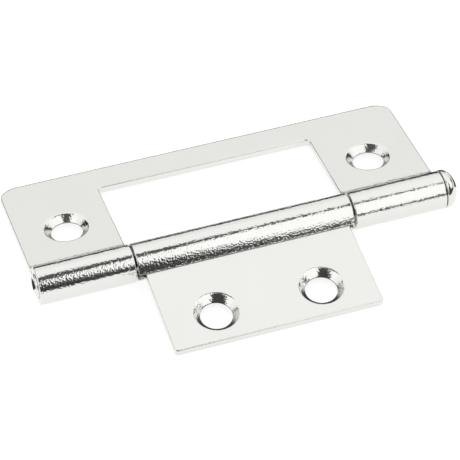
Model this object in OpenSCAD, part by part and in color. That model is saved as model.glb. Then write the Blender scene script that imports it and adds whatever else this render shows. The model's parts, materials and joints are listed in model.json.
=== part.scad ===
// Flush hinge, lying open.
// The pin's axis is the X axis, with the middle of the hinge at the origin.
// The outer leaf lies level towards +Y, with its countersinks upwards.
// The inner leaf points towards -Y and droops until a flat table would touch
// the barrel and the far edge of each leaf.

/* [Sheet] */
// Thickness of the steel sheet of both leaves
sheet_t = 1.4; // [1:0.1:1.8]

/* [Outer leaf] */
// Length of the hinge along the pin, without the pin's heads
leaf_len = 75; // [70:0.5:110]
// Distance from the pin's axis to the back edge of the outer leaf
leaf_depth = 28.3; // [26:0.1:40]
// Radius of the two back corners
leaf_corner_r = 3.2; // [1:0.1:5]
// Width of the bar behind the window
back_bar_w = 6; // [4:0.1:8]
// Width of the arm at each side of the window
arm_w = 17.3; // [15:0.1:20]
// Radius in the back corners of the window
window_corner_r = 0.8; // [0.3:0.1:1.5]

/* [Inner leaf] */
// Gap between each side of the inner leaf and the window when closed
tab_side_gap = 1.4; // [0.3:0.1:2]
// Gap between the front edge of the inner leaf and the window when closed
tab_end_gap = 1.2; // [0.5:0.1:2]
// Radius of the two front corners
tab_corner_r = 0.6; // [0.2:0.1:3]
// How far the corner relief cuts into the front of the knuckle
relief_cut = 0.8; // [0.2:0.1:1.2]

/* [Barrel] */
// Diameter of the pin
pin_d = 3.9; // [3:0.1:4.4]
// Running clearance between the pin and the bores, on the radius
pin_clearance = 0.05; // [0.02:0.01:0.1]
// Gap between neighbouring knuckles
knuckle_gap = 0.3; // [0.1:0.05:0.5]
// Open seam where the curled end of the sheet comes back to the leaf
seam_gap = 0.15; // [0.05:0.05:0.3]
// Fillet below the leaf where the sheet turns into the knuckle
root_fillet_r = 1; // [0.5:0.1:1.5]
// Chamfer on the rims of the knuckles
rim_chamfer = 0.2; // [0.1:0.05:0.4]

/* [Pin ends] */
// Diameter of the domed head
head_d = 7; // [6:0.1:7.6]
// Height of the straight rim below the dome of the head
head_rim_h = 1; // [0.4:0.1:1.4]
// Height of the dome on the head
head_dome_h = 1.6; // [1:0.1:2]
// Diameter of the peened end
peen_d = 4.6; // [4.4:0.1:6.6]
// Height of the peened end
peen_h = 0.5; // [0.4:0.1:1.2]
// Gap between the barrel and each end of the pin
end_gap = 0.1; // [0.05:0.01:0.2]

/* [Screw holes] */
// Diameter of the countersink at the surface
countersink_d = 8.1; // [7:0.1:8.6]
// Diameter of the hole below the 90 degree countersink
hole_d = 5.7; // [5.5:0.1:6.2]
// Distance from the ends of the outer leaf to its holes
leaf_hole_side = 9; // [8:0.1:10]
// Distance from the pin's axis to the holes of the outer leaf
leaf_hole_y = 13.3; // [10:0.1:18]
// Distance from the sides of the inner leaf to its holes
tab_hole_side = 9.25; // [7:0.05:11]
// Distance from the front edge of the inner leaf to its holes
tab_hole_front = 6.2; // [5.5:0.1:8]

/* [Hidden] */
$fn = 96;

// How far a cutting shape runs past what it cuts
over = 1;
bore_r = pin_d / 2 + pin_clearance;
barrel_r = bore_r + sheet_t;

window_len = leaf_len - 2 * arm_w;
window_depth = leaf_depth - back_bar_w;
leaf_holes_x = leaf_len / 2 - leaf_hole_side;

tab_w = window_len - 2 * tab_side_gap;
tab_depth = window_depth - tab_end_gap;
tab_knuckle_len = window_len - 2 * knuckle_gap;
tab_holes_x = tab_w / 2 - tab_hole_side;
tab_holes_y = tab_depth - tab_hole_front;
relief_r = (tab_knuckle_len - tab_w) / 2;

// Middle of the root fillet, which touches the leaf's underside and the barrel
root_y = sqrt(pow(barrel_r + root_fillet_r, 2) - pow(sheet_t / 2 + root_fillet_r, 2));
root_z = -sheet_t / 2 - root_fillet_r;

// Slope of a table under the barrel and under a leaf's far lower edge, against the leaf
function table_slope(depth) =
    asin(barrel_r / norm([depth, sheet_t / 2])) - atan(sheet_t / 2 / depth);
droop = table_slope(leaf_depth) + table_slope(tab_depth);

// Stands a profile drawn in Y and Z up along X, centred on the middle of its length
module along_x(length) {
    rotate([90, 0, 90]) linear_extrude(length, center = true) children();
}

// One curled knuckle about the X axis, with chamfered rims and its open seam
module knuckle(length) {
    difference() {
        rotate([0, 90, 0]) rotate_extrude() polygon([
            [0, -length / 2],
            [barrel_r - rim_chamfer, -length / 2],
            [barrel_r, rim_chamfer - length / 2],
            [barrel_r, length / 2 - rim_chamfer],
            [barrel_r - rim_chamfer, length / 2],
            [0, length / 2],
        ]);
        along_x(length + 2 * over) translate([0, sheet_t / 2]) square([barrel_r + over, seam_gap]);
    }
}

// The sheet between the knuckle and the flat leaf, filleted on its underside
module leaf_root(length) {
    along_x(length) {
        translate([0, -sheet_t / 2]) square([root_y, sheet_t]);
        difference() {
            polygon([[0, 0], [root_y, -sheet_t / 2], [root_y, root_z]]);
            translate([root_y, root_z]) circle(root_fillet_r);
        }
    }
}

// Bore for the pin, through everything along X
module pin_bore() {
    rotate([0, 90, 0]) cylinder(h = leaf_len + 2 * over, r = bore_r, center = true);
}

// Flat sheet from the root to its far edge, with the two far corners rounded
module flat_sheet(width, depth, corner_r) {
    flat_y = root_y - over;
    translate([0, 0, -sheet_t / 2]) linear_extrude(sheet_t) {
        translate([-width / 2, flat_y]) square([width, depth - flat_y - corner_r]);
        translate([corner_r - width / 2, flat_y]) square([width - 2 * corner_r, depth - flat_y]);
        for (side = [-1, 1])
            translate([side * (width / 2 - corner_r), depth - corner_r]) circle(corner_r);
    }
}

// Countersunk screw hole, cut down from the top of the sheet
module screw_hole() {
    countersink_h = (countersink_d - hole_d) / 2;
    cylinder(h = sheet_t + 2 * over, d = hole_d, center = true);
    translate([0, 0, sheet_t / 2 - countersink_h])
        cylinder(h = countersink_h, d1 = hole_d, d2 = countersink_d);
    translate([0, 0, sheet_t / 2]) cylinder(h = over, d = countersink_d);
}

// Two screw holes, one at each side of the middle
module screw_hole_pair(x, y) {
    for (side = [-1, 1]) translate([side * x, y, 0]) screw_hole();
}

// Opening that the inner leaf folds into, from the barrel to the back bar
module window() {
    height = 2 * (barrel_r + over);
    translate([0, 0, -height / 2]) linear_extrude(height) {
        translate([-window_len / 2, -barrel_r - over])
            square([window_len, window_depth + barrel_r + over - window_corner_r]);
        translate([window_corner_r - window_len / 2, 0])
            square([window_len - 2 * window_corner_r, window_depth]);
        for (side = [-1, 1])
            translate([side * (window_len / 2 - window_corner_r), window_depth - window_corner_r])
                circle(window_corner_r);
    }
}

// Outer leaf: one folded sheet with a knuckle at each end
module outer_leaf() {
    color("gainsboro") difference() {
        union() {
            for (side = [-1, 1]) translate([side * (leaf_len - arm_w) / 2, 0, 0]) {
                knuckle(arm_w);
                leaf_root(arm_w);
            }
            difference() {
                flat_sheet(leaf_len, leaf_depth, leaf_corner_r);
                window();
            }
        }
        pin_bore();
        screw_hole_pair(leaf_holes_x, leaf_hole_y);
    }
}

// Inner leaf: one folded sheet with the middle knuckle, narrower than the window
module inner_leaf() {
    color("whitesmoke") rotate([droop, 0, 0]) rotate([0, 0, 180]) difference() {
        union() {
            knuckle(tab_knuckle_len);
            leaf_root(tab_w);
            flat_sheet(tab_w, tab_depth, tab_corner_r);
        }
        pin_bore();
        screw_hole_pair(tab_holes_x, tab_holes_y);
        for (side = [-1, 1])
            translate([side * tab_knuckle_len / 2, barrel_r + relief_r - relief_cut, 0])
                cylinder(h = 2 * (barrel_r + over), r = relief_r, center = true);
    }
}

// Low dome on a straight rim, standing on the YZ plane towards +X
module dome(base_d, rim_h, dome_h) {
    sphere_r = (pow(base_d / 2, 2) + pow(dome_h, 2)) / (2 * dome_h);
    intersection() {
        translate([rim_h + dome_h - sphere_r, 0, 0]) rotate([0, 90, 0]) sphere(sphere_r);
        rotate([0, 90, 0]) cylinder(h = rim_h + dome_h, d = base_d);
    }
}

// Pin with its domed head at +X and its peened end at -X
module hinge_pin() {
    shank_len = leaf_len + 2 * end_gap;
    color("silver") {
        rotate([0, 90, 0]) cylinder(h = shank_len, d = pin_d, center = true);
        translate([shank_len / 2, 0, 0]) dome(head_d, head_rim_h, head_dome_h);
        translate([-shank_len / 2, 0, 0]) mirror([1, 0, 0]) dome(peen_d, 0, peen_h);
    }
}

outer_leaf();
inner_leaf();
hinge_pin();
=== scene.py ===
"""Flush hinge of nickel-plated steel, lying open on a pale table: its looks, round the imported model.

Both leaves are made as the real ones are: a flat blank with rounded edges and countersunk holes,
whose front strip is then rolled into the knuckles. The pin is turned. Lengths in the sizes are in
millimetres, and everything in the scene is in metres.
"""

import json
import logging
import math
from dataclasses import dataclass
from enum import Enum

import bmesh
import bpy
import numpy as np
from mathutils import Matrix, Vector
from mathutils.geometry import delaunay_2d_cdt


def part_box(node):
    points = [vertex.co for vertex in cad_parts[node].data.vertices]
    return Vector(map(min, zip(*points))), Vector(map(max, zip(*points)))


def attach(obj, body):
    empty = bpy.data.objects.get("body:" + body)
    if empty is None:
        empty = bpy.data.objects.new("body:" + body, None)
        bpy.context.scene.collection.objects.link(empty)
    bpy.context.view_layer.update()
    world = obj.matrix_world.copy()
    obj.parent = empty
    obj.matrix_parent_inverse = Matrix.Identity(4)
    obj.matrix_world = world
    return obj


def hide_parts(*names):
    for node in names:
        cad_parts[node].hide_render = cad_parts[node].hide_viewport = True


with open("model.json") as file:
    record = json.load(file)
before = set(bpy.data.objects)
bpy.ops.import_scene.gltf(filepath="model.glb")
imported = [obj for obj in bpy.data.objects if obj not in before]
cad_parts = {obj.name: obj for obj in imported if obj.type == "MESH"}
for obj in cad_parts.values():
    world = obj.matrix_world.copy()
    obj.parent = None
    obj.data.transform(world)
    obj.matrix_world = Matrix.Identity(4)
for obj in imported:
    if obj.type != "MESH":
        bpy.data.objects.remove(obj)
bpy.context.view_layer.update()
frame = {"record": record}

MM = 0.001
PHOTO_SIDE = 460
SENSOR_WIDTH = 36.0
log = logging.getLogger("hinge")

Point = tuple[float, float]


def linear(hex_colour: str) -> tuple[float, float, float, float]:
    """Turn an sRGB hex colour to linear red, green, blue and alpha.

    Args:
        hex_colour: Six hex digits, such as "e5e5e2".

    Returns:
        The colour as Blender's sockets take it.
    """
    channels = [int(hex_colour[i:i + 2], 16) / 255 for i in (0, 2, 4)]
    values = [c / 12.92 if c <= 0.04045 else ((c + 0.055) / 1.055) ** 2.4 for c in channels]
    return values[0], values[1], values[2], 1.0


def add_node(tree: bpy.types.NodeTree, kind: str, settings: dict | None = None,
             **inputs: object) -> bpy.types.Node:
    """Add a node with its settings, values and links.

    Args:
        tree: The node tree.
        kind: The node's type name.
        settings: Attributes to set on the node.
        **inputs: A value or a socket for each input, named "i0", "i1" and on by its place, or by
            the input's own name with spaces as underscores.

    Returns:
        The node.
    """
    node = tree.nodes.new(kind)
    for name, value in (settings or {}).items():
        setattr(node, name, value)
    for name, value in inputs.items():
        by_place = name[0] == "i" and name[1:].isdigit()
        socket = node.inputs[int(name[1:]) if by_place else name.replace("_", " ")]
        if isinstance(value, bpy.types.NodeSocket):
            tree.links.new(value, socket)
        else:
            socket.default_value = value
    return node


@dataclass(frozen=True)
class Sizes:
    """The hinge's sizes in millimetres and degrees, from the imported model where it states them."""

    length: float
    depth: float
    barrel_r: float
    tab_depth: float
    hole_r: float
    leaf_pitch: float
    leaf_hole_y: float
    droop: float
    table_slope: float
    sheet: float = 1.4
    bore_r: float = 2.0
    arm: float = 17.3
    window_depth: float = 22.3
    corner_r: float = 3.2
    window_corner_r: float = 0.8
    tab_width: float = 37.6
    tab_corner_r: float = 0.6
    tab_pitch: float = 19.1
    tab_hole_y: float = 14.9
    knuckle_gap: float = 0.3
    countersink_r: float = 4.05
    edge_r: float = 0.24
    rim_r: float = 0.3
    sink_rim_r: float = 0.6
    hole_edge_r: float = 0.05
    root_inside_r: float = 0.5
    tail_start: float = 42.85
    tail_r: float = 9.0
    seam: float = 0.07
    swell: float = 0.32
    swell_width: float = 1.65

    @classmethod
    def from_frame(cls) -> "Sizes":
        """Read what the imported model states, and turn it to millimetres."""
        low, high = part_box("outer_leaf")
        mounts = {mount["name"]: mount for mount in frame["record"]["mounts"]}
        holes = mounts["outer_screw_holes"]
        tilted = mounts["inner_back"]["axis"]
        droop = math.atan2(tilted[1], -tilted[2])
        inner_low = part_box("inner_leaf")[0]
        barrel_r = high.z / MM
        depth = high.y / MM
        half_sheet = cls.sheet / 2
        slope = math.asin(barrel_r / math.hypot(depth, half_sheet)) - math.atan(half_sheet / depth)
        front = -inner_low.y / MM - half_sheet * math.sin(droop)
        return cls(
            length=(high.x - low.x) / MM,
            depth=depth,
            barrel_r=barrel_r,
            tab_depth=front / math.cos(droop),
            hole_r=holes["dims"]["hole_r_mm"],
            leaf_pitch=holes["dims"]["spacing_x_mm"],
            leaf_hole_y=holes["pos_m"][1] / MM,
            droop=math.degrees(droop),
            table_slope=math.degrees(slope),
        )

    @property
    def window(self) -> float:
        """Width of the window between the arms."""
        return self.length - 2 * self.arm

    @property
    def curl_r(self) -> float:
        """Radius of the curl at the middle of the sheet."""
        return self.bore_r + self.sheet / 2

    @property
    def root_r(self) -> float:
        """Radius of the root bend at the middle of the sheet."""
        return self.root_inside_r + self.sheet / 2

    @property
    def root_y(self) -> float:
        """Distance from the pin's axis to where the flat sheet ends."""
        return math.sqrt((self.curl_r + self.root_r) ** 2 - self.root_r ** 2)

    @property
    def curl_start(self) -> float:
        """Angle below the sheet at which the root bend turns into the curl, in radians."""
        return math.asin(self.root_r / (self.curl_r + self.root_r))

    @property
    def root_length(self) -> float:
        """Length of sheet in the root bend."""
        return self.root_r * (math.pi / 2 - self.curl_start)

    @property
    def tail_turns(self) -> Point:
        """Angles above the leaf at which the tail's inner and outer faces end, in radians."""
        rise = self.sheet / 2 + self.seam
        rise += (self.tail_r - self.curl_r) * math.sin(math.radians(self.tail_start))
        half = self.sheet / 2
        return math.asin(rise / (self.tail_r - half)), math.asin(rise / (self.tail_r + half))

    @property
    def end_slant(self) -> float:
        """How much further the outer face runs than the inner one, so that the end lies flat."""
        inner, outer = self.tail_turns
        return self.tail_r * (inner - outer)

    @property
    def bends(self) -> tuple[tuple[float, float, float], ...]:
        """Start, length and radius of the root bend, the curl and its flatter tail."""
        tail_start = math.radians(self.tail_start)
        curl = self.root_y - self.root_length
        curl_length = self.curl_r * (2 * math.pi - self.curl_start - tail_start)
        return ((self.root_y, self.root_length, self.root_r),
                (curl, curl_length, self.curl_r),
                (curl - curl_length, self.tail_r * (tail_start - self.tail_turns[1]), self.tail_r))

    @property
    def blank_front(self) -> float:
        """Where the flat blank's front edge lies before it is rolled."""
        start, length, _ = self.bends[-1]
        return start - length


class Finish(Enum):
    """The finishes that the hinge's pieces may have."""

    SHEET = "rolled sheet"
    PIN = "turned pin"


@dataclass(frozen=True)
class NickelPlate:
    """Bright nickel plating on rolled mild steel.

    It mirrors softly, and the rolled sheet's orange peel, which the plating follows, breaks the
    edges of each reflection into specks. The real peel is too fine for the render, so it is drawn
    as coarse as it needs to show. Its patterns are measured in millimetres.

    Attributes:
        name: The material's name.
        colour: Its main colour.
        stain_colour: The colour of its faint stains.
        roughness: How softly it mirrors.
        peel: Width of the bumps of the orange peel.
        peel_depth: Their height.
        stain: Width of the stains.
        rub: Width of the spots that are rubbed smoother or duller.
        rubbed: The smoothest and the dullest spot, as shares of the roughness.
    """

    name: str
    colour: str
    stain_colour: str
    roughness: float = 0.13
    peel: float = 0.31
    peel_depth: float = 0.028
    stain: float = 6.0
    rub: float = 0.5
    rubbed: Point = (0.75, 1.3)

    def material(self) -> bpy.types.Material:
        """Build the material.

        Returns:
            A node material whose patterns lie on the piece's own coordinates.
        """
        material = bpy.data.materials.new(self.name)
        material.use_nodes = True
        tree = material.node_tree
        tree.nodes.clear()
        place = add_node(tree, "ShaderNodeTexCoord").outputs["Object"]
        cloud = add_node(tree, "ShaderNodeTexNoise", Vector=place, Scale=1 / (self.stain * MM),
                         Detail=3.0)
        colour = add_node(tree, "ShaderNodeMix", {"data_type": "RGBA"}, i0=cloud.outputs["Fac"],
                          i6=linear(self.colour), i7=linear(self.stain_colour))
        grit = add_node(tree, "ShaderNodeTexNoise", Vector=place, Scale=1 / (self.rub * MM),
                        Detail=4.0)
        rough = add_node(tree, "ShaderNodeMapRange", Value=grit.outputs["Fac"],
                         To_Min=self.roughness * self.rubbed[0],
                         To_Max=self.roughness * self.rubbed[1])
        peel = add_node(tree, "ShaderNodeTexNoise", Vector=place, Scale=1 / (self.peel * MM),
                        Detail=0.0)
        bump = add_node(tree, "ShaderNodeBump", Height=peel.outputs["Fac"],
                        Distance=self.peel_depth * MM)
        shader = add_node(tree, "ShaderNodeBsdfPrincipled", Metallic=1.0,
                          Base_Color=colour.outputs[2], Roughness=rough.outputs["Result"],
                          Normal=bump.outputs["Normal"])
        add_node(tree, "ShaderNodeOutputMaterial", Surface=shader.outputs["BSDF"])
        return material


FINISHES = {
    Finish.SHEET: NickelPlate("nickel_plated_sheet", "e8e7e4", "e3e3df"),
    Finish.PIN: NickelPlate("nickel_plated_pin", "e8e7e4", "e2e1de", peel_depth=0.012),
}


def fillet(corners: list[tuple[float, float, float]], closed: bool = True,
           step: float = 15.0) -> list[Point]:
    """Round the corners of an outline.

    Args:
        corners: Each corner's two coordinates and its radius.
        closed: Whether the last corner joins the first; the ends of an open line stay as they are.
        step: The most that one segment of an arc turns, in degrees.

    Returns:
        The outline's points in order.
    """
    points: list[Point] = []
    count = len(corners)
    for i, (x, y, radius) in enumerate(corners):
        if radius == 0 or (not closed and i in (0, count - 1)):
            points.append((x, y))
            continue
        here = Vector((x, y))
        before = (Vector(corners[i - 1][:2]) - here).normalized()
        after = (Vector(corners[(i + 1) % count][:2]) - here).normalized()
        half = before.angle(after) / 2
        middle = here + (before + after).normalized() * (radius / math.sin(half))
        start = here + before * (radius / math.tan(half)) - middle
        end = here + after * (radius / math.tan(half)) - middle
        turn = -start.angle_signed(end)
        pieces = max(2, math.ceil(abs(math.degrees(turn)) / step))
        for k in range(pieces + 1):
            spoke = start.copy()
            spoke.rotate(Matrix.Rotation(turn * k / pieces, 2))
            points.append((middle.x + spoke.x, middle.y + spoke.y))
    return points


@dataclass
class Edge:
    """A closed line of the blank with the profile of the edge that runs along it.

    Attributes:
        points: The line's points, in millimetres.
        profile: From the upper to the lower face, how far each ring of the edge lies inside the
            material, and its height.
        hole: Whether the material is outside the line.
        sharp_below: Where along the blank its edges start to get sharper towards the rolled end.
        round_above: Where along the blank its edges start to get rounder towards the far end.
    """

    points: list[Point]
    profile: list[Point]
    hole: bool = False
    sharp_below: float = -math.inf
    round_above: float = math.inf

    # How much of its size the profile loses, or gains, over the first millimetre
    SHARPENED = 0.7
    ROUNDED = 1.8

    def rings(self) -> np.ndarray:
        """Place the rings.

        Returns:
            An array of rings by points by the three coordinates.
        """
        points = np.array(self.points)
        ahead = np.roll(points, -1, axis=0) - points
        ahead /= np.linalg.norm(ahead, axis=1, keepdims=True)
        normals = np.stack([-ahead[:, 1], ahead[:, 0]], axis=1)
        inward = normals + np.roll(normals, 1, axis=0)
        inward /= np.linalg.norm(inward, axis=1, keepdims=True)
        inward /= np.sum(inward * normals, axis=1, keepdims=True)
        area = np.sum(points[:, 0] * np.roll(points[:, 1], -1)
                      - np.roll(points[:, 0], -1) * points[:, 1])
        inward *= math.copysign(1, area) * (-1 if self.hole else 1)
        scale = 1 - self.SHARPENED * np.clip(self.sharp_below - points[:, 1], 0, 1)
        scale += self.ROUNDED * np.clip(points[:, 1] - self.round_above, 0, 1)
        rings = []
        for inset, height in self.profile:
            face = math.copysign(self.profile[0][1], height)
            rings.append(np.column_stack([points + inward * inset * scale[:, None],
                                          face + (height - face) * scale]))
        return np.array(rings)


class RollTree:
    """The Geometry Nodes tree that rolls the front strip of a blank into its knuckles."""

    INPUTS = ("Root place", "Root radius", "Root length", "Curl radius", "Curl length",
              "Tail radius", "Swell height", "Swell width")

    # The swell is up after one part in SWELL_RISE of its width, and falls off by this power
    SWELL_RISE = 5.0
    SWELL_FALL = 1.3

    def __init__(self) -> None:
        """Build the tree."""
        tree = bpy.data.node_groups.new("roll_sheet", "GeometryNodeTree")
        self.tree = tree
        face = tree.interface
        face.new_socket("Blank", in_out="INPUT", socket_type="NodeSocketGeometry")
        for name in self.INPUTS:
            face.new_socket(name, in_out="INPUT", socket_type="NodeSocketFloat")
        face.new_socket("Plating", in_out="INPUT", socket_type="NodeSocketMaterial")
        face.new_socket("Leaf", in_out="OUTPUT", socket_type="NodeSocketGeometry")
        given = add_node(tree, "NodeGroupInput").outputs

        # The root bend, which turns the strip down
        place, root_r = given["Root place"], given["Root radius"]
        spot = add_node(tree, "ShaderNodeSeparateXYZ",
                        Vector=add_node(tree, "GeometryNodeInputPosition").outputs[0]).outputs
        strip = self.math("SUBTRACT", place, spot["Y"])
        in_root = self.math("MINIMUM", self.math("MAXIMUM", strip, 0.0), given["Root length"])
        bend = self.math("DIVIDE", in_root, root_r)
        arm = self.math("ADD", root_r, spot["Z"])
        flat = self.math("MAXIMUM", spot["Y"], place)
        across = self.math("SUBTRACT", flat, self.math("MULTIPLY", arm, self.math("SINE", bend)))
        height = self.math("SUBTRACT", self.math("MULTIPLY", arm, self.math("COSINE", bend)), root_r)

        # The swell, which rolling leaves in the flat sheet behind the bend
        behind = self.math("DIVIDE", self.math("MULTIPLY", strip, -1.0), given["Swell width"])
        behind = self.math("MINIMUM", self.math("MAXIMUM", behind, 0.0), 1.0)
        rise = self.math("MINIMUM", self.math("MULTIPLY", behind, self.SWELL_RISE), 1.0)
        fall = self.math("POWER", self.math("SUBTRACT", 1.0, behind), self.SWELL_FALL)
        swell = self.math("MULTIPLY", self.math("MULTIPLY", fall, rise), given["Swell height"])
        bent = add_node(tree, "ShaderNodeCombineXYZ", X=spot["X"], Y=across,
                        Z=self.math("ADD", height, swell))

        # The tail, which turns about its own centre, and then the curl, about the pin's axis
        past_root = self.math("MAXIMUM", self.math("SUBTRACT", strip, given["Root length"]), 0.0)
        in_curl = self.math("MINIMUM", past_root, given["Curl length"])
        whole = self.math("DIVIDE", given["Root length"], root_r)
        offset = self.math("SUBTRACT", given["Curl radius"], given["Tail radius"])
        centre = add_node(tree, "ShaderNodeCombineXYZ",
                          Y=self.math("MULTIPLY", offset, self.math("SINE", whole)),
                          Z=self.math("MULTIPLY", self.math("COSINE", whole),
                                      self.math("MULTIPLY", offset, -1.0)))
        tail = self.math("DIVIDE", self.math("SUBTRACT", in_curl, past_root), given["Tail radius"])
        tailed = add_node(tree, "ShaderNodeVectorRotate", {"rotation_type": "X_AXIS"},
                          Vector=bent.outputs[0], Center=centre.outputs[0], Angle=tail)
        roll = self.math("DIVIDE", in_curl, given["Curl radius"])
        rolled = add_node(tree, "ShaderNodeVectorRotate", {"rotation_type": "X_AXIS"},
                          Vector=tailed.outputs[0], Angle=self.math("MULTIPLY", roll, -1.0))

        moved = add_node(tree, "GeometryNodeSetPosition", Geometry=given["Blank"],
                         Position=rolled.outputs[0])
        solid = add_node(tree, "GeometryNodeRealizeInstances", Geometry=moved.outputs[0])
        plated = add_node(tree, "GeometryNodeSetMaterial", Geometry=solid.outputs[0],
                          Material=given["Plating"])
        add_node(tree, "NodeGroupOutput", Leaf=plated.outputs[0])

    def math(self, operation: str, *values: object) -> bpy.types.NodeSocket:
        """Add one sum of the tree.

        Args:
            operation: Blender's name for it.
            *values: A number or a socket for each term.

        Returns:
            The result's socket.
        """
        terms = {f"i{place}": value for place, value in enumerate(values)}
        return add_node(self.tree, "ShaderNodeMath", {"operation": operation}, **terms).outputs[0]

    def roll(self, blank: bpy.types.Object, values: tuple[float, ...],
             plating: bpy.types.Material) -> bpy.types.Mesh:
        """Roll a blank.

        Args:
            blank: The blank's object, which is removed.
            values: A value for each of INPUTS, in metres.
            plating: The material.

        Returns:
            The rolled mesh, with flat faces shaded flat up to their rounded edges.
        """
        modifier = blank.modifiers.new("roll", "NODES")
        modifier.node_group = self.tree
        sockets = {item.name: item.identifier for item in self.tree.interface.items_tree
                   if item.in_out == "INPUT"}
        for name, value in zip(self.INPUTS, values):
            modifier[sockets[name]] = value
        modifier[sockets["Plating"]] = plating
        shading = blank.modifiers.new("flats", "WEIGHTED_NORMAL")
        shading.weight = 100
        shading.keep_sharp = False
        view = bpy.context.evaluated_depsgraph_get()
        mesh = bpy.data.meshes.new_from_object(blank.evaluated_get(view), depsgraph=view)
        bpy.data.objects.remove(blank)
        return mesh


@dataclass
class Leaf:
    """One leaf: a blank, rolled into its knuckles.

    Attributes:
        name: The piece's name.
        node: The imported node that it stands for.
        body: The body that it rides on.
        finish: Its plating.
        sizes: The hinge's sizes.
        roller: The tree that rolls it.
        turn: From the flat leaf's own frame to the hinge's.
    """

    name: str
    node: str
    body: str
    finish: Finish
    sizes: Sizes
    roller: RollTree
    turn: Matrix

    # The most that a bend turns from one row of points to the next, and the rows on a swell
    ROW_STEP = math.radians(3.5)
    SWELL_ROWS = 14
    SWELLS = False

    # In millimetres, how far a straight side may stray, and the room from a row to a corner
    STRAY = 1e-3
    ROW_ROOM = 0.02

    # Degrees from one point round a screw hole to the next, and the most for arcs of an edge
    HOLE_STEP = 3.75
    SHEARED_STEP = 18.0
    SUNK_STEP = 15.0

    # How far from the rolled end the edges are sharper, and how far back the end's slant reaches
    SHARP_REACH = 1.3
    SLANT_REACH = 2.5

    # A triangle whose middle is this near to a hole's middle, in radii of the hole, is inside it
    INSIDE = 0.9995

    def outline(self) -> list[tuple[float, float, float]]:
        """The blank's corners with their radii."""
        raise NotImplementedError

    def holes(self) -> list[Point]:
        """The middles of the screw holes."""
        raise NotImplementedError

    def round_above(self) -> float:
        """Where the edges get rounder towards the far end."""
        return math.inf

    def rows(self) -> list[float]:
        """Where the bent strip gets a row of points, from the flat sheet to the curled end."""
        s = self.sizes
        swell = range(self.SWELL_ROWS, 0, -1) if self.SWELLS else ()
        rows = [s.root_y + s.swell_width * k / self.SWELL_ROWS for k in swell]
        for start, length, radius in s.bends:
            count = math.ceil(length / radius / self.ROW_STEP)
            rows += [start - length * k / count for k in range(count)]
        return rows

    def with_rows(self, points: list[Point]) -> list[Point]:
        """Add a point where a row meets a side that runs along the strip.

        Args:
            points: The outline.

        Returns:
            The outline with the added points.
        """
        result: list[Point] = []
        for here, after in zip(points, points[1:] + points[:1]):
            result.append(here)
            if abs(here[0] - after[0]) > self.STRAY:
                continue
            low, high = sorted((here[1], after[1]))
            added = [(here[0], y) for y in self.rows()
                     if low + self.ROW_ROOM < y < high - self.ROW_ROOM]
            result += added if after[1] < here[1] else added[::-1]
        return result

    def edges(self) -> list[Edge]:
        """All edges of the blank: its outline and its screw holes."""
        s = self.sizes
        top = s.sheet / 2
        # Each profile runs this far over both faces, which gives its corners room for a fillet
        reach = 1.0
        sheared = [(reach, top, 0), (0, top, s.edge_r), (0, -top, s.edge_r), (reach, -top, 0)]
        sink = s.countersink_r - s.hole_r
        sunk = [(sink + reach, top, 0), (sink, top, s.sink_rim_r),
                (0, top - sink, s.hole_edge_r), (0, -top, s.hole_edge_r), (reach, -top, 0)]
        edges = [Edge(self.with_rows(fillet(self.outline())),
                      fillet(sheared, False, self.SHEARED_STEP)[1:-1],
                      sharp_below=s.blank_front + self.SHARP_REACH,
                      round_above=self.round_above())]
        circle = [math.radians(a) for a in np.arange(0, 360, self.HOLE_STEP)]
        for x, y in self.holes():
            rim = [(x + s.hole_r * math.cos(a), y + s.hole_r * math.sin(a)) for a in circle]
            edges.append(Edge(rim, fillet(sunk, False, self.SUNK_STEP)[1:-1], hole=True))
        return edges

    def face(self, rims: list[np.ndarray]) -> list[tuple]:
        """Fill one face of the blank between its rims.

        Args:
            rims: The ring of points round the face, and one round each hole.

        Returns:
            Triangles of indices into the rims' points, all in one list.
        """
        points = [tuple(point[:2]) for rim in rims for point in rim]
        lines: set[tuple[int, int]] = set()
        start = 0
        for rim in rims:
            lines |= {(start + i, start + (i + 1) % len(rim)) for i in range(len(rim))}
            start += len(rim)
        # Lines across the strip from side to side, one for each row, so that it bends evenly
        last_row = self.sizes.root_y + self.sizes.swell_width
        level: dict[float, list[int]] = {}
        for i, point in enumerate(rims[0]):
            if point[1] < last_row + self.ROW_ROOM / 2:
                level.setdefault(round(point[1], 4), []).append(i)
        for members in level.values():
            members.sort(key=lambda i: points[i][0])
            if len(members) % 2 == 0:
                lines |= {pair for pair in zip(members[::2], members[1::2])
                          if pair not in lines and pair[::-1] not in lines}
        # The filling covers the holes too, and its triangles there are left out
        holes = [(Vector(rim.mean(axis=0)[:2]), np.ptp(rim[:, 0]) / 2) for rim in rims[1:]]
        found = delaunay_2d_cdt([Vector(p) for p in points], sorted(lines), [], 1, 1e-7)
        home = [min(ids) for ids in found[3]]
        triangles = []
        for triangle in found[2]:
            middle = sum((found[0][i] for i in triangle), Vector((0, 0))) / 3
            if all((middle - centre).length > self.INSIDE * radius for centre, radius in holes):
                triangles.append(tuple(home[i] for i in triangle))
        return triangles

    def slant(self, rings: np.ndarray) -> None:
        """Slant the front edge, so that the rolled end lies flat against the leaf.

        Args:
            rings: The rings of the outline, which are changed.
        """
        s = self.sizes
        near = (s.blank_front + self.SLANT_REACH - rings[..., 1]) / self.SLANT_REACH
        near = np.clip(near, 0, 1)
        rings[..., 1] += near * s.end_slant * (rings[..., 2] / s.sheet + 0.5)

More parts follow.
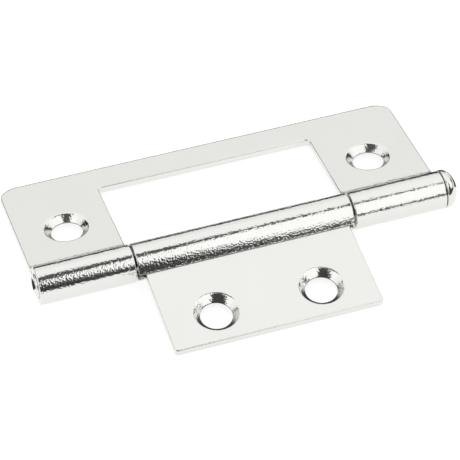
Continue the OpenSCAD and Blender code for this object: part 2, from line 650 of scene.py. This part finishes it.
    def blank(self) -> bpy.types.Object:
        """Make the flat blank, upright in metres, with every edge rounded."""
        rings = [edge.rings() for edge in self.edges()]
        self.slant(rings[0])
        coordinates: list[np.ndarray] = []
        faces: list[tuple] = []
        first: list[int] = []
        for stack in rings:
            base, around = sum(map(len, coordinates)), stack.shape[1]
            first.append(base)
            coordinates.append(stack.reshape(-1, 3))
            for k in range(stack.shape[0] - 1):
                row = base + k * around
                faces += [(row + i, row + (i + 1) % around,
                           row + around + (i + 1) % around, row + around + i)
                          for i in range(around)]
        for end in (0, -1):
            rims = [stack[end] for stack in rings]
            index = [start + (stack.shape[0] - 1) * stack.shape[1] * (end == -1) + i
                     for start, stack in zip(first, rings) for i in range(stack.shape[1])]
            faces += [tuple(index[i] for i in triangle) for triangle in self.face(rims)]
        mesh = bpy.data.meshes.new(self.name)
        mesh.from_pydata(np.concatenate(coordinates) * MM, [], faces)
        point_outwards(mesh)
        blank = bpy.data.objects.new(self.name + "_blank", mesh)
        bpy.context.scene.collection.objects.link(blank)
        return blank

    def build(self) -> None:
        s = self.sizes
        values = (s.root_y, s.root_r, s.root_length, s.curl_r, s.bends[1][1], s.tail_r,
                  s.swell * self.SWELLS, s.swell_width)
        plating = FINISHES[self.finish].material()
        mesh = self.roller.roll(self.blank(), tuple(value * MM for value in values), plating)
        mesh.transform(self.turn)
        declare(self.name, mesh, self.body, self.node)


class OuterLeaf(Leaf):
    """The leaf with the window, and a knuckle on each arm; rolling has swollen it behind them."""

    SWELLS = True

    # How far from the back edge the edges start to get rounder
    ROUND_REACH = 1.5

    def outline(self) -> list[tuple[float, float, float]]:
        """The blank's corners: a plate with the window open to the front."""
        s = self.sizes
        half, mouth, front = s.length / 2, s.window / 2, s.blank_front
        return [
            (-half, front, s.rim_r), (-mouth, front, s.rim_r),
            (-mouth, s.window_depth, s.window_corner_r), (mouth, s.window_depth, s.window_corner_r),
            (mouth, front, s.rim_r), (half, front, s.rim_r),
            (half, s.depth, s.corner_r), (-half, s.depth, s.corner_r),
        ]

    def round_above(self) -> float:
        """The edges get rounder round the back corners."""
        return self.sizes.depth - self.ROUND_REACH

    def holes(self) -> list[Point]:
        """One screw hole in each arm."""
        s = self.sizes
        return [(side * s.leaf_pitch / 2, s.leaf_hole_y) for side in (-1, 1)]


class InnerLeaf(Leaf):
    """The leaf that nests in the window: a tab that is narrower than its knuckle."""

    def outline(self) -> list[tuple[float, float, float]]:
        """The blank's corners: the tab, its shoulders and the strip for the knuckle."""
        s = self.sizes
        half, front = s.tab_width / 2, s.blank_front
        knuckle = s.window / 2 - s.knuckle_gap
        shoulder, relief_r = s.root_y - s.root_length, s.rim_r * 2
        return [
            (-knuckle, front, s.rim_r), (knuckle, front, s.rim_r),
            (knuckle, shoulder, s.rim_r), (half, shoulder, relief_r),
            (half, s.tab_depth, s.tab_corner_r), (-half, s.tab_depth, s.tab_corner_r),
            (-half, shoulder, relief_r), (-knuckle, shoulder, s.rim_r),
        ]

    def holes(self) -> list[Point]:
        """Two screw holes side by side."""
        s = self.sizes
        return [(side * s.tab_pitch / 2, s.tab_hole_y) for side in (-1, 1)]


@dataclass
class HingePin:
    """The pin: a shank with a domed head at one end and a peened end at the other."""

    sizes: Sizes
    shank_r: float = 1.95
    head_r: float = 3.49
    head_rim: float = 1.0
    head_dome: float = 1.59
    peen_r: float = 2.3
    peen_rim: float = 0.2
    peen_dome: float = 0.35
    head_seat: float = 0.1
    peen_seat: float = 0.02
    edge_r: float = 1.8

    # Radius of an end's edge at the leaf, and the most for the one at its dome, in heights of the rim
    SEAT_SHARE = 0.2
    EDGE_SHARE = 1.8

    # Points round the pin, steps from a dome's tip to its edge, and those before the edge's arc
    AROUND = 96
    DOME_STEPS = 12
    DOME_KEPT = 9
    ARC_STEP = 8.0

    def end(self, seat: float, radius: float, rim: float, dome: float) -> list[Point]:
        """The profile of one end, from the shank to its tip.

        Args:
            seat: Its distance from the leaf's end.
            radius: The end's radius.
            rim: Height of its straight rim.
            dome: Height of the dome on it.

        Returns:
            Points of distance along the pin and from its axis.
        """
        seat += self.sizes.length / 2
        sphere = (radius ** 2 + dome ** 2) / (2 * dome)
        reach = math.asin(radius / sphere)
        middle = seat + rim + dome - sphere
        turns = [reach * k / self.DOME_STEPS for k in range(self.DOME_KEPT, -1, -1)]
        arc = [(middle + sphere * math.cos(turn), sphere * math.sin(turn)) for turn in turns]
        edge_r = min(self.edge_r, rim * self.EDGE_SHARE)
        corners = [(seat, self.shank_r, 0), (seat, radius, rim * self.SEAT_SHARE),
                   (seat + rim, radius, edge_r), (*arc[0], 0)]
        return fillet(corners, False, self.ARC_STEP)[:-1] + arc

    def build(self) -> None:
        head = self.end(self.head_seat, self.head_r, self.head_rim, self.head_dome)
        peen = [(-x, r) for x, r in self.end(self.peen_seat, self.peen_r, self.peen_rim,
                                             self.peen_dome)]
        profile = [(x, max(r, 0.0)) for x, r in peen[::-1] + head]
        around = self.AROUND
        turns = [2 * math.pi * k / around for k in range(around)]
        vertices = [(x, r * math.cos(turn), r * math.sin(turn))
                    for x, r in profile[1:-1] for turn in turns]
        rows = len(profile) - 2
        faces: list[tuple] = [
            (j * around + k, j * around + (k + 1) % around,
             (j + 1) * around + (k + 1) % around, (j + 1) * around + k)
            for j in range(rows - 1) for k in range(around)
        ]
        for tip, row in ((profile[0], 0), (profile[-1], rows - 1)):
            vertices.append((tip[0], 0.0, 0.0))
            faces += [(row * around + k, row * around + (k + 1) % around, len(vertices) - 1)
                      for k in range(around)]
        mesh = bpy.data.meshes.new("turned_pin")
        mesh.from_pydata(np.array(vertices) * MM, [], faces)
        point_outwards(mesh)
        mesh.materials.append(FINISHES[Finish.PIN].material())
        declare("turned_pin", mesh, "outer", "hinge_pin")


def point_outwards(mesh: bpy.types.Mesh) -> None:
    """Turn a closed mesh's faces outwards and shade them smooth."""
    work = bmesh.new()
    work.from_mesh(mesh)
    bmesh.ops.recalc_face_normals(work, faces=work.faces)
    for face in work.faces:
        face.smooth = True
    work.to_mesh(mesh)
    work.free()


def declare(name: str, mesh: bpy.types.Mesh, body: str, node: str) -> None:
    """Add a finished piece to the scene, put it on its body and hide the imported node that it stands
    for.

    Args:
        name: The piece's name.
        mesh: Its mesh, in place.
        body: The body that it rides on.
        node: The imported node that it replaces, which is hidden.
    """
    piece = bpy.data.objects.new(name, mesh)
    bpy.context.scene.collection.objects.link(piece)
    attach(piece, body)
    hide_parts(node)
    log.info("%s: %d faces, rides on %s", name, len(mesh.polygons), body)


@dataclass(frozen=True)
class Card:
    """A card that is bent round the pin's axis.

    Attributes:
        name: The card's name.
        radiance: Its brightness, where the surroundings have 1.
        stations: Places along the pin in millimetres, with the angles about the pin, from the
            outer leaf upwards in degrees, between which the card hangs there.
        distance: Its distance from the pin in millimetres.
        flag: Whether it shows in reflections alone, and takes no light from the table.
    """

    name: str
    radiance: float
    stations: tuple[tuple[float, float, float], ...]
    distance: float = 600.0
    flag: bool = False

    # Faces across the card
    ACROSS = 12

    def build(self) -> None:
        """Make the card, which shows in the hinge but isn't seen itself."""
        vertices, faces, across = [], [], self.ACROSS
        for x, start, end in self.stations:
            for k in range(across + 1):
                angle = math.radians(start + (end - start) * k / across)
                vertices.append((x, self.distance * math.cos(angle), self.distance * math.sin(angle)))
        for j in range(len(self.stations) - 1):
            for k in range(across):
                a = j * (across + 1) + k
                faces.append((a, a + 1, a + across + 2, a + across + 1))
        place_card(self.name, vertices, faces, self.radiance, self.flag)


@dataclass(frozen=True)
class Wall:
    """A low dark wall round the table, open to the front.

    Attributes:
        name: The wall's name.
        stations: Directions in degrees from the pin's headed end towards the outer leaf, with the
            wall's height there as seen from the hinge, in degrees.
        radiance: Its brightness.
        distance: Its distance from the hinge's middle in millimetres.
        foot: The height of its lower edge, as seen from the hinge, in degrees.
    """

    name: str
    stations: tuple[tuple[float, float], ...]
    radiance: float = 0.03
    distance: float = 570.0
    foot: float = -20.0

    def build(self) -> None:
        """Make the wall, which shows in the hinge but isn't seen itself."""
        vertices = []
        for turn, height in self.stations:
            x, y = math.cos(math.radians(turn)), math.sin(math.radians(turn))
            for rise in (self.foot, height):
                z = math.tan(math.radians(rise))
                vertices.append((self.distance * x, self.distance * y, self.distance * z))
        faces = [(k, k + 1, k + 3, k + 2) for k in range(0, len(vertices) - 2, 2)]
        place_card(self.name, vertices, faces, self.radiance, flag=True)


def place_card(name: str, vertices: list[tuple[float, ...]], faces: list[tuple[int, ...]],
               radiance: float, flag: bool) -> None:
    """Put up a card of one even brightness that the camera doesn't see.

    Args:
        name: The card's name.
        vertices: Its corners in millimetres.
        faces: Its faces.
        radiance: Its brightness.
        flag: Whether it shows in reflections alone.
    """
    mesh = bpy.data.meshes.new(name)
    mesh.from_pydata(np.array(vertices) * MM, [], faces)
    material = bpy.data.materials.new(name)
    material.use_nodes = True
    tree = material.node_tree
    tree.nodes.clear()
    glow = add_node(tree, "ShaderNodeEmission", Strength=radiance)
    add_node(tree, "ShaderNodeOutputMaterial", Surface=glow.outputs[0])
    mesh.materials.append(material)
    card = bpy.data.objects.new(name, mesh)
    bpy.context.scene.collection.objects.link(card)
    card.visible_camera = False
    if flag:
        card.visible_diffuse = False
        card.visible_shadow = False
        card.visible_transmission = False


@dataclass(frozen=True)
class Camera:
    """The photograph's camera, in millimetres and radians, with its focal length in pixels."""

    place: tuple[float, float, float] = (-94.35, -329.74, 271.76)
    yaw: float = -0.27435
    pitch: float = -0.66625
    roll: float = -0.06144
    focal: float = 2486.06
    centre: Point = (233.18, 228.0)

    def build(self) -> None:
        """Make the camera and use it."""
        right = Vector((math.cos(self.yaw), math.sin(self.yaw), 0))
        ahead = Vector((-math.sin(self.yaw) * math.cos(self.pitch),
                        math.cos(self.yaw) * math.cos(self.pitch), math.sin(self.pitch)))
        up = right.cross(ahead)
        rolled_right = right * math.cos(self.roll) + up * math.sin(self.roll)
        rolled_up = up * math.cos(self.roll) - right * math.sin(self.roll)
        turn = Matrix((rolled_right, rolled_up, -ahead)).transposed().to_4x4()
        data = bpy.data.cameras.new("camera")
        data.sensor_width = SENSOR_WIDTH
        data.lens = SENSOR_WIDTH * self.focal / PHOTO_SIDE
        data.shift_x = (PHOTO_SIDE / 2 - self.centre[0]) / PHOTO_SIDE
        data.shift_y = (self.centre[1] - PHOTO_SIDE / 2) / PHOTO_SIDE
        data.clip_start = 0.01
        camera = bpy.data.objects.new("camera", data)
        camera.matrix_world = Matrix.Translation(Vector(self.place) * MM) @ turn
        bpy.context.scene.collection.objects.link(camera)
        bpy.context.scene.camera = camera


@dataclass(frozen=True)
class Studio:
    """A white surrounding with dark and bright cards, and the table that the hinge lies on.

    Attributes:
        sizes: The hinge's sizes.
        table_side: Length of the table's sides in millimetres.
        table_gap: The table's distance below the barrel, in millimetres.
        table_grey: Its own grey, which takes the hinge's soft shadow.
        table_glow: Its brightness to the camera and in reflections, besides what light adds.
        shade_lift: Height of the dark patches above the table, in millimetres.
    """

    sizes: Sizes
    table_side: float = 3000.0
    table_gap: float = 0.02
    table_grey: float = 0.22
    table_glow: float = 0.85
    shade_lift: float = 0.01

    CARDS = (
        # The tab, and the pale band along the top of the barrel
        Card("overhead_softbox", 1.1, ((-2600, 46, 97), (2600, 46, 97))),
        # The brightest band, along the barrel's front
        Card("front_softbox", 1.24, ((-2600, 97, 172), (2600, 97, 172))),
        # The thin dark line between those two bands
        Card("overhead_flag", 0.07, ((-128, 91, 120), (-14, 91, 119), (11, 93, 114),
                                     (39, 96, 110), (68, 98.5, 107.5), (93, 100.5, 107),
                                     (139, 104, 105)), 180.0, True),
        # The broad dark band low on the barrel's front, which narrows to the right
        Card("front_flag", 0.04, ((-500, 137, 183), (-14, 137, 183), (-6, 139, 183.5),
                                  (0, 146, 184), (6, 152.5, 185.5), (11, 156, 186),
                                  (20, 161, 184), (39, 168, 183), (68, 170, 181.5),
                                  (93, 171, 180.5), (139, 172, 180), (200, 168, 184),
                                  (340, 145, 184), (560, 145, 184)), 180.0, True),
        # The dark patch on the far side of each countersink
        Card("camera_flag", 0.09, ((-380, 148, 153), (-300, 124, 156), (-200, 119, 157),
                                   (-90, 119, 154), (0, 121, 135), (38, 124, 130)), 580.0, True),
        # The dark crescent on the head, which alone is near enough to show this card
        Card("head_flag", 0.05, ((45, 171, 184), (48, 150, 184), (51, 108, 184), (53, 106, 184),
                                 (57, 118, 184), (61, 135, 184), (67, 165, 184),
                                 (72, 178, 184)), 25.0, True),
        # The pale top of the head inside its dark outline
        Card("head_reflector", 1.0, ((46, -2, 45), (60, -2, 45)), 12.0, True),
        # The dark line along the barrel's back
        Wall("back_wall", ((-48, 7), (-8, 7), (6, 7), (9, 19), (12, 22), (30, 19), (60, 15),
                           (90, 14), (115, 16), (135, 20), (150, 25))),
    )
    # Painted shade: dark patches on the table that stand for the shadow under and behind the hinge,
    # seen in reflections alone, each with its brightness and its corners along and across the pin
    SHADES = (
        ("table_shade", 0.05, ((-570, 30), (60, 30), (250, 570), (-570, 570))),
        ("tab_shade", 0.05, ((-18.8, -20), (18.8, -20), (18.8, -5), (-18.8, -5))),
        ("window_shade", 0.05, ((-20, 4), (17.5, 4), (17.5, 17), (-20, 17))),
        ("left_arm_shade", 0.3, ((-37.5, 4), (-20, 4), (-20, 27), (-37.5, 27))),
        ("right_arm_shade", 0.3, ((20.5, 4), (37.5, 4), (37.5, 27), (20.5, 27))),
        ("left_end_shade", 0.04, ((-43, 2.5), (-37.5, 2.5), (-37.5, 6.2), (-43, 6.2))),
        ("right_end_shade", 0.04, ((37.5, 3), (60, 3), (60, 30), (37.5, 30))),
    )

    def surroundings(self) -> None:
        """A plain white world."""
        world = bpy.data.worlds.new("white_surrounding")
        world.use_nodes = True
        background = world.node_tree.nodes["Background"]
        background.inputs["Color"].default_value = (1, 1, 1, 1)
        background.inputs["Strength"].default_value = 1.0
        bpy.context.scene.world = world

    def shade(self) -> None:
        """Paint shade on the table behind and under the hinge, where the hinge's shadow shows in
        reflections.
        """
        slope = math.radians(self.sizes.table_slope)
        below = self.sizes.barrel_r + (self.table_gap - self.shade_lift)
        for name, radiance, corners in self.SHADES:
            vertices = [(x, y * math.cos(slope) + below * math.sin(slope),
                         y * math.sin(slope) - below * math.cos(slope)) for x, y in corners]
            place_card(name, vertices, [(0, 1, 2, 3)], radiance, flag=True)

    def table(self) -> None:
        """A matt white table under the barrel and both leaves, which keeps a soft shadow."""
        material = bpy.data.materials.new("matt_white_table")
        material.use_nodes = True
        tree = material.node_tree
        tree.nodes.clear()
        # It glows where the camera sees it, also in reflections, and lights nothing by that
        light = add_node(tree, "ShaderNodeLightPath").outputs
        seen = add_node(tree, "ShaderNodeMath", {"operation": "MAXIMUM"},
                        i0=light["Is Camera Ray"], i1=light["Is Glossy Ray"])
        seen = add_node(tree, "ShaderNodeMath", {"operation": "MAXIMUM"},
                        i0=seen.outputs[0], i1=light["Is Transmission Ray"])
        strength = add_node(tree, "ShaderNodeMath", {"operation": "MULTIPLY"},
                            i0=seen.outputs[0], i1=self.table_glow)
        grey = (self.table_grey, self.table_grey, self.table_grey, 1)
        paper = add_node(tree, "ShaderNodeBsdfDiffuse", Color=grey)
        glow = add_node(tree, "ShaderNodeEmission", Strength=strength.outputs[0])
        both = add_node(tree, "ShaderNodeAddShader", i0=paper.outputs[0], i1=glow.outputs[0])
        add_node(tree, "ShaderNodeOutputMaterial", Surface=both.outputs[0])
        half = self.table_side / 2
        corners = [(-half, -half, 0), (half, -half, 0), (half, half, 0), (-half, half, 0)]
        mesh = bpy.data.meshes.new("table")
        mesh.from_pydata(np.array(corners) * MM, [], [(0, 1, 2, 3)])
        mesh.materials.append(material)
        table = bpy.data.objects.new("table", mesh)
        bpy.context.scene.collection.objects.link(table)
        drop = Matrix.Translation((0, 0, -(self.sizes.barrel_r + self.table_gap) * MM))
        table.matrix_world = Matrix.Rotation(math.radians(self.sizes.table_slope), 4, "X") @ drop

    def build(self) -> None:
        """Set up the surroundings, the cards, the table and the camera."""
        self.surroundings()
        for card in self.CARDS:
            card.build()
        self.shade()
        self.table()
        Camera().build()
        bpy.context.scene.view_settings.view_transform = "Standard"


def main() -> None:
    """Build the hinge piece by piece, then the studio round it."""
    logging.basicConfig(level=logging.INFO, format="%(name)s: %(message)s")
    sizes = Sizes.from_frame()
    roller = RollTree()
    droop = Matrix.Rotation(math.radians(sizes.droop), 4, "X") @ Matrix.Rotation(math.pi, 4, "Z")
    OuterLeaf("rolled_outer_leaf", "outer_leaf", "outer", Finish.SHEET, sizes, roller,
              Matrix.Identity(4)).build()
    InnerLeaf("rolled_inner_leaf", "inner_leaf", "inner", Finish.SHEET, sizes, roller,
              droop).build()
    HingePin(sizes).build()
    Studio(sizes).build()


if __name__ == "__main__":
    main()
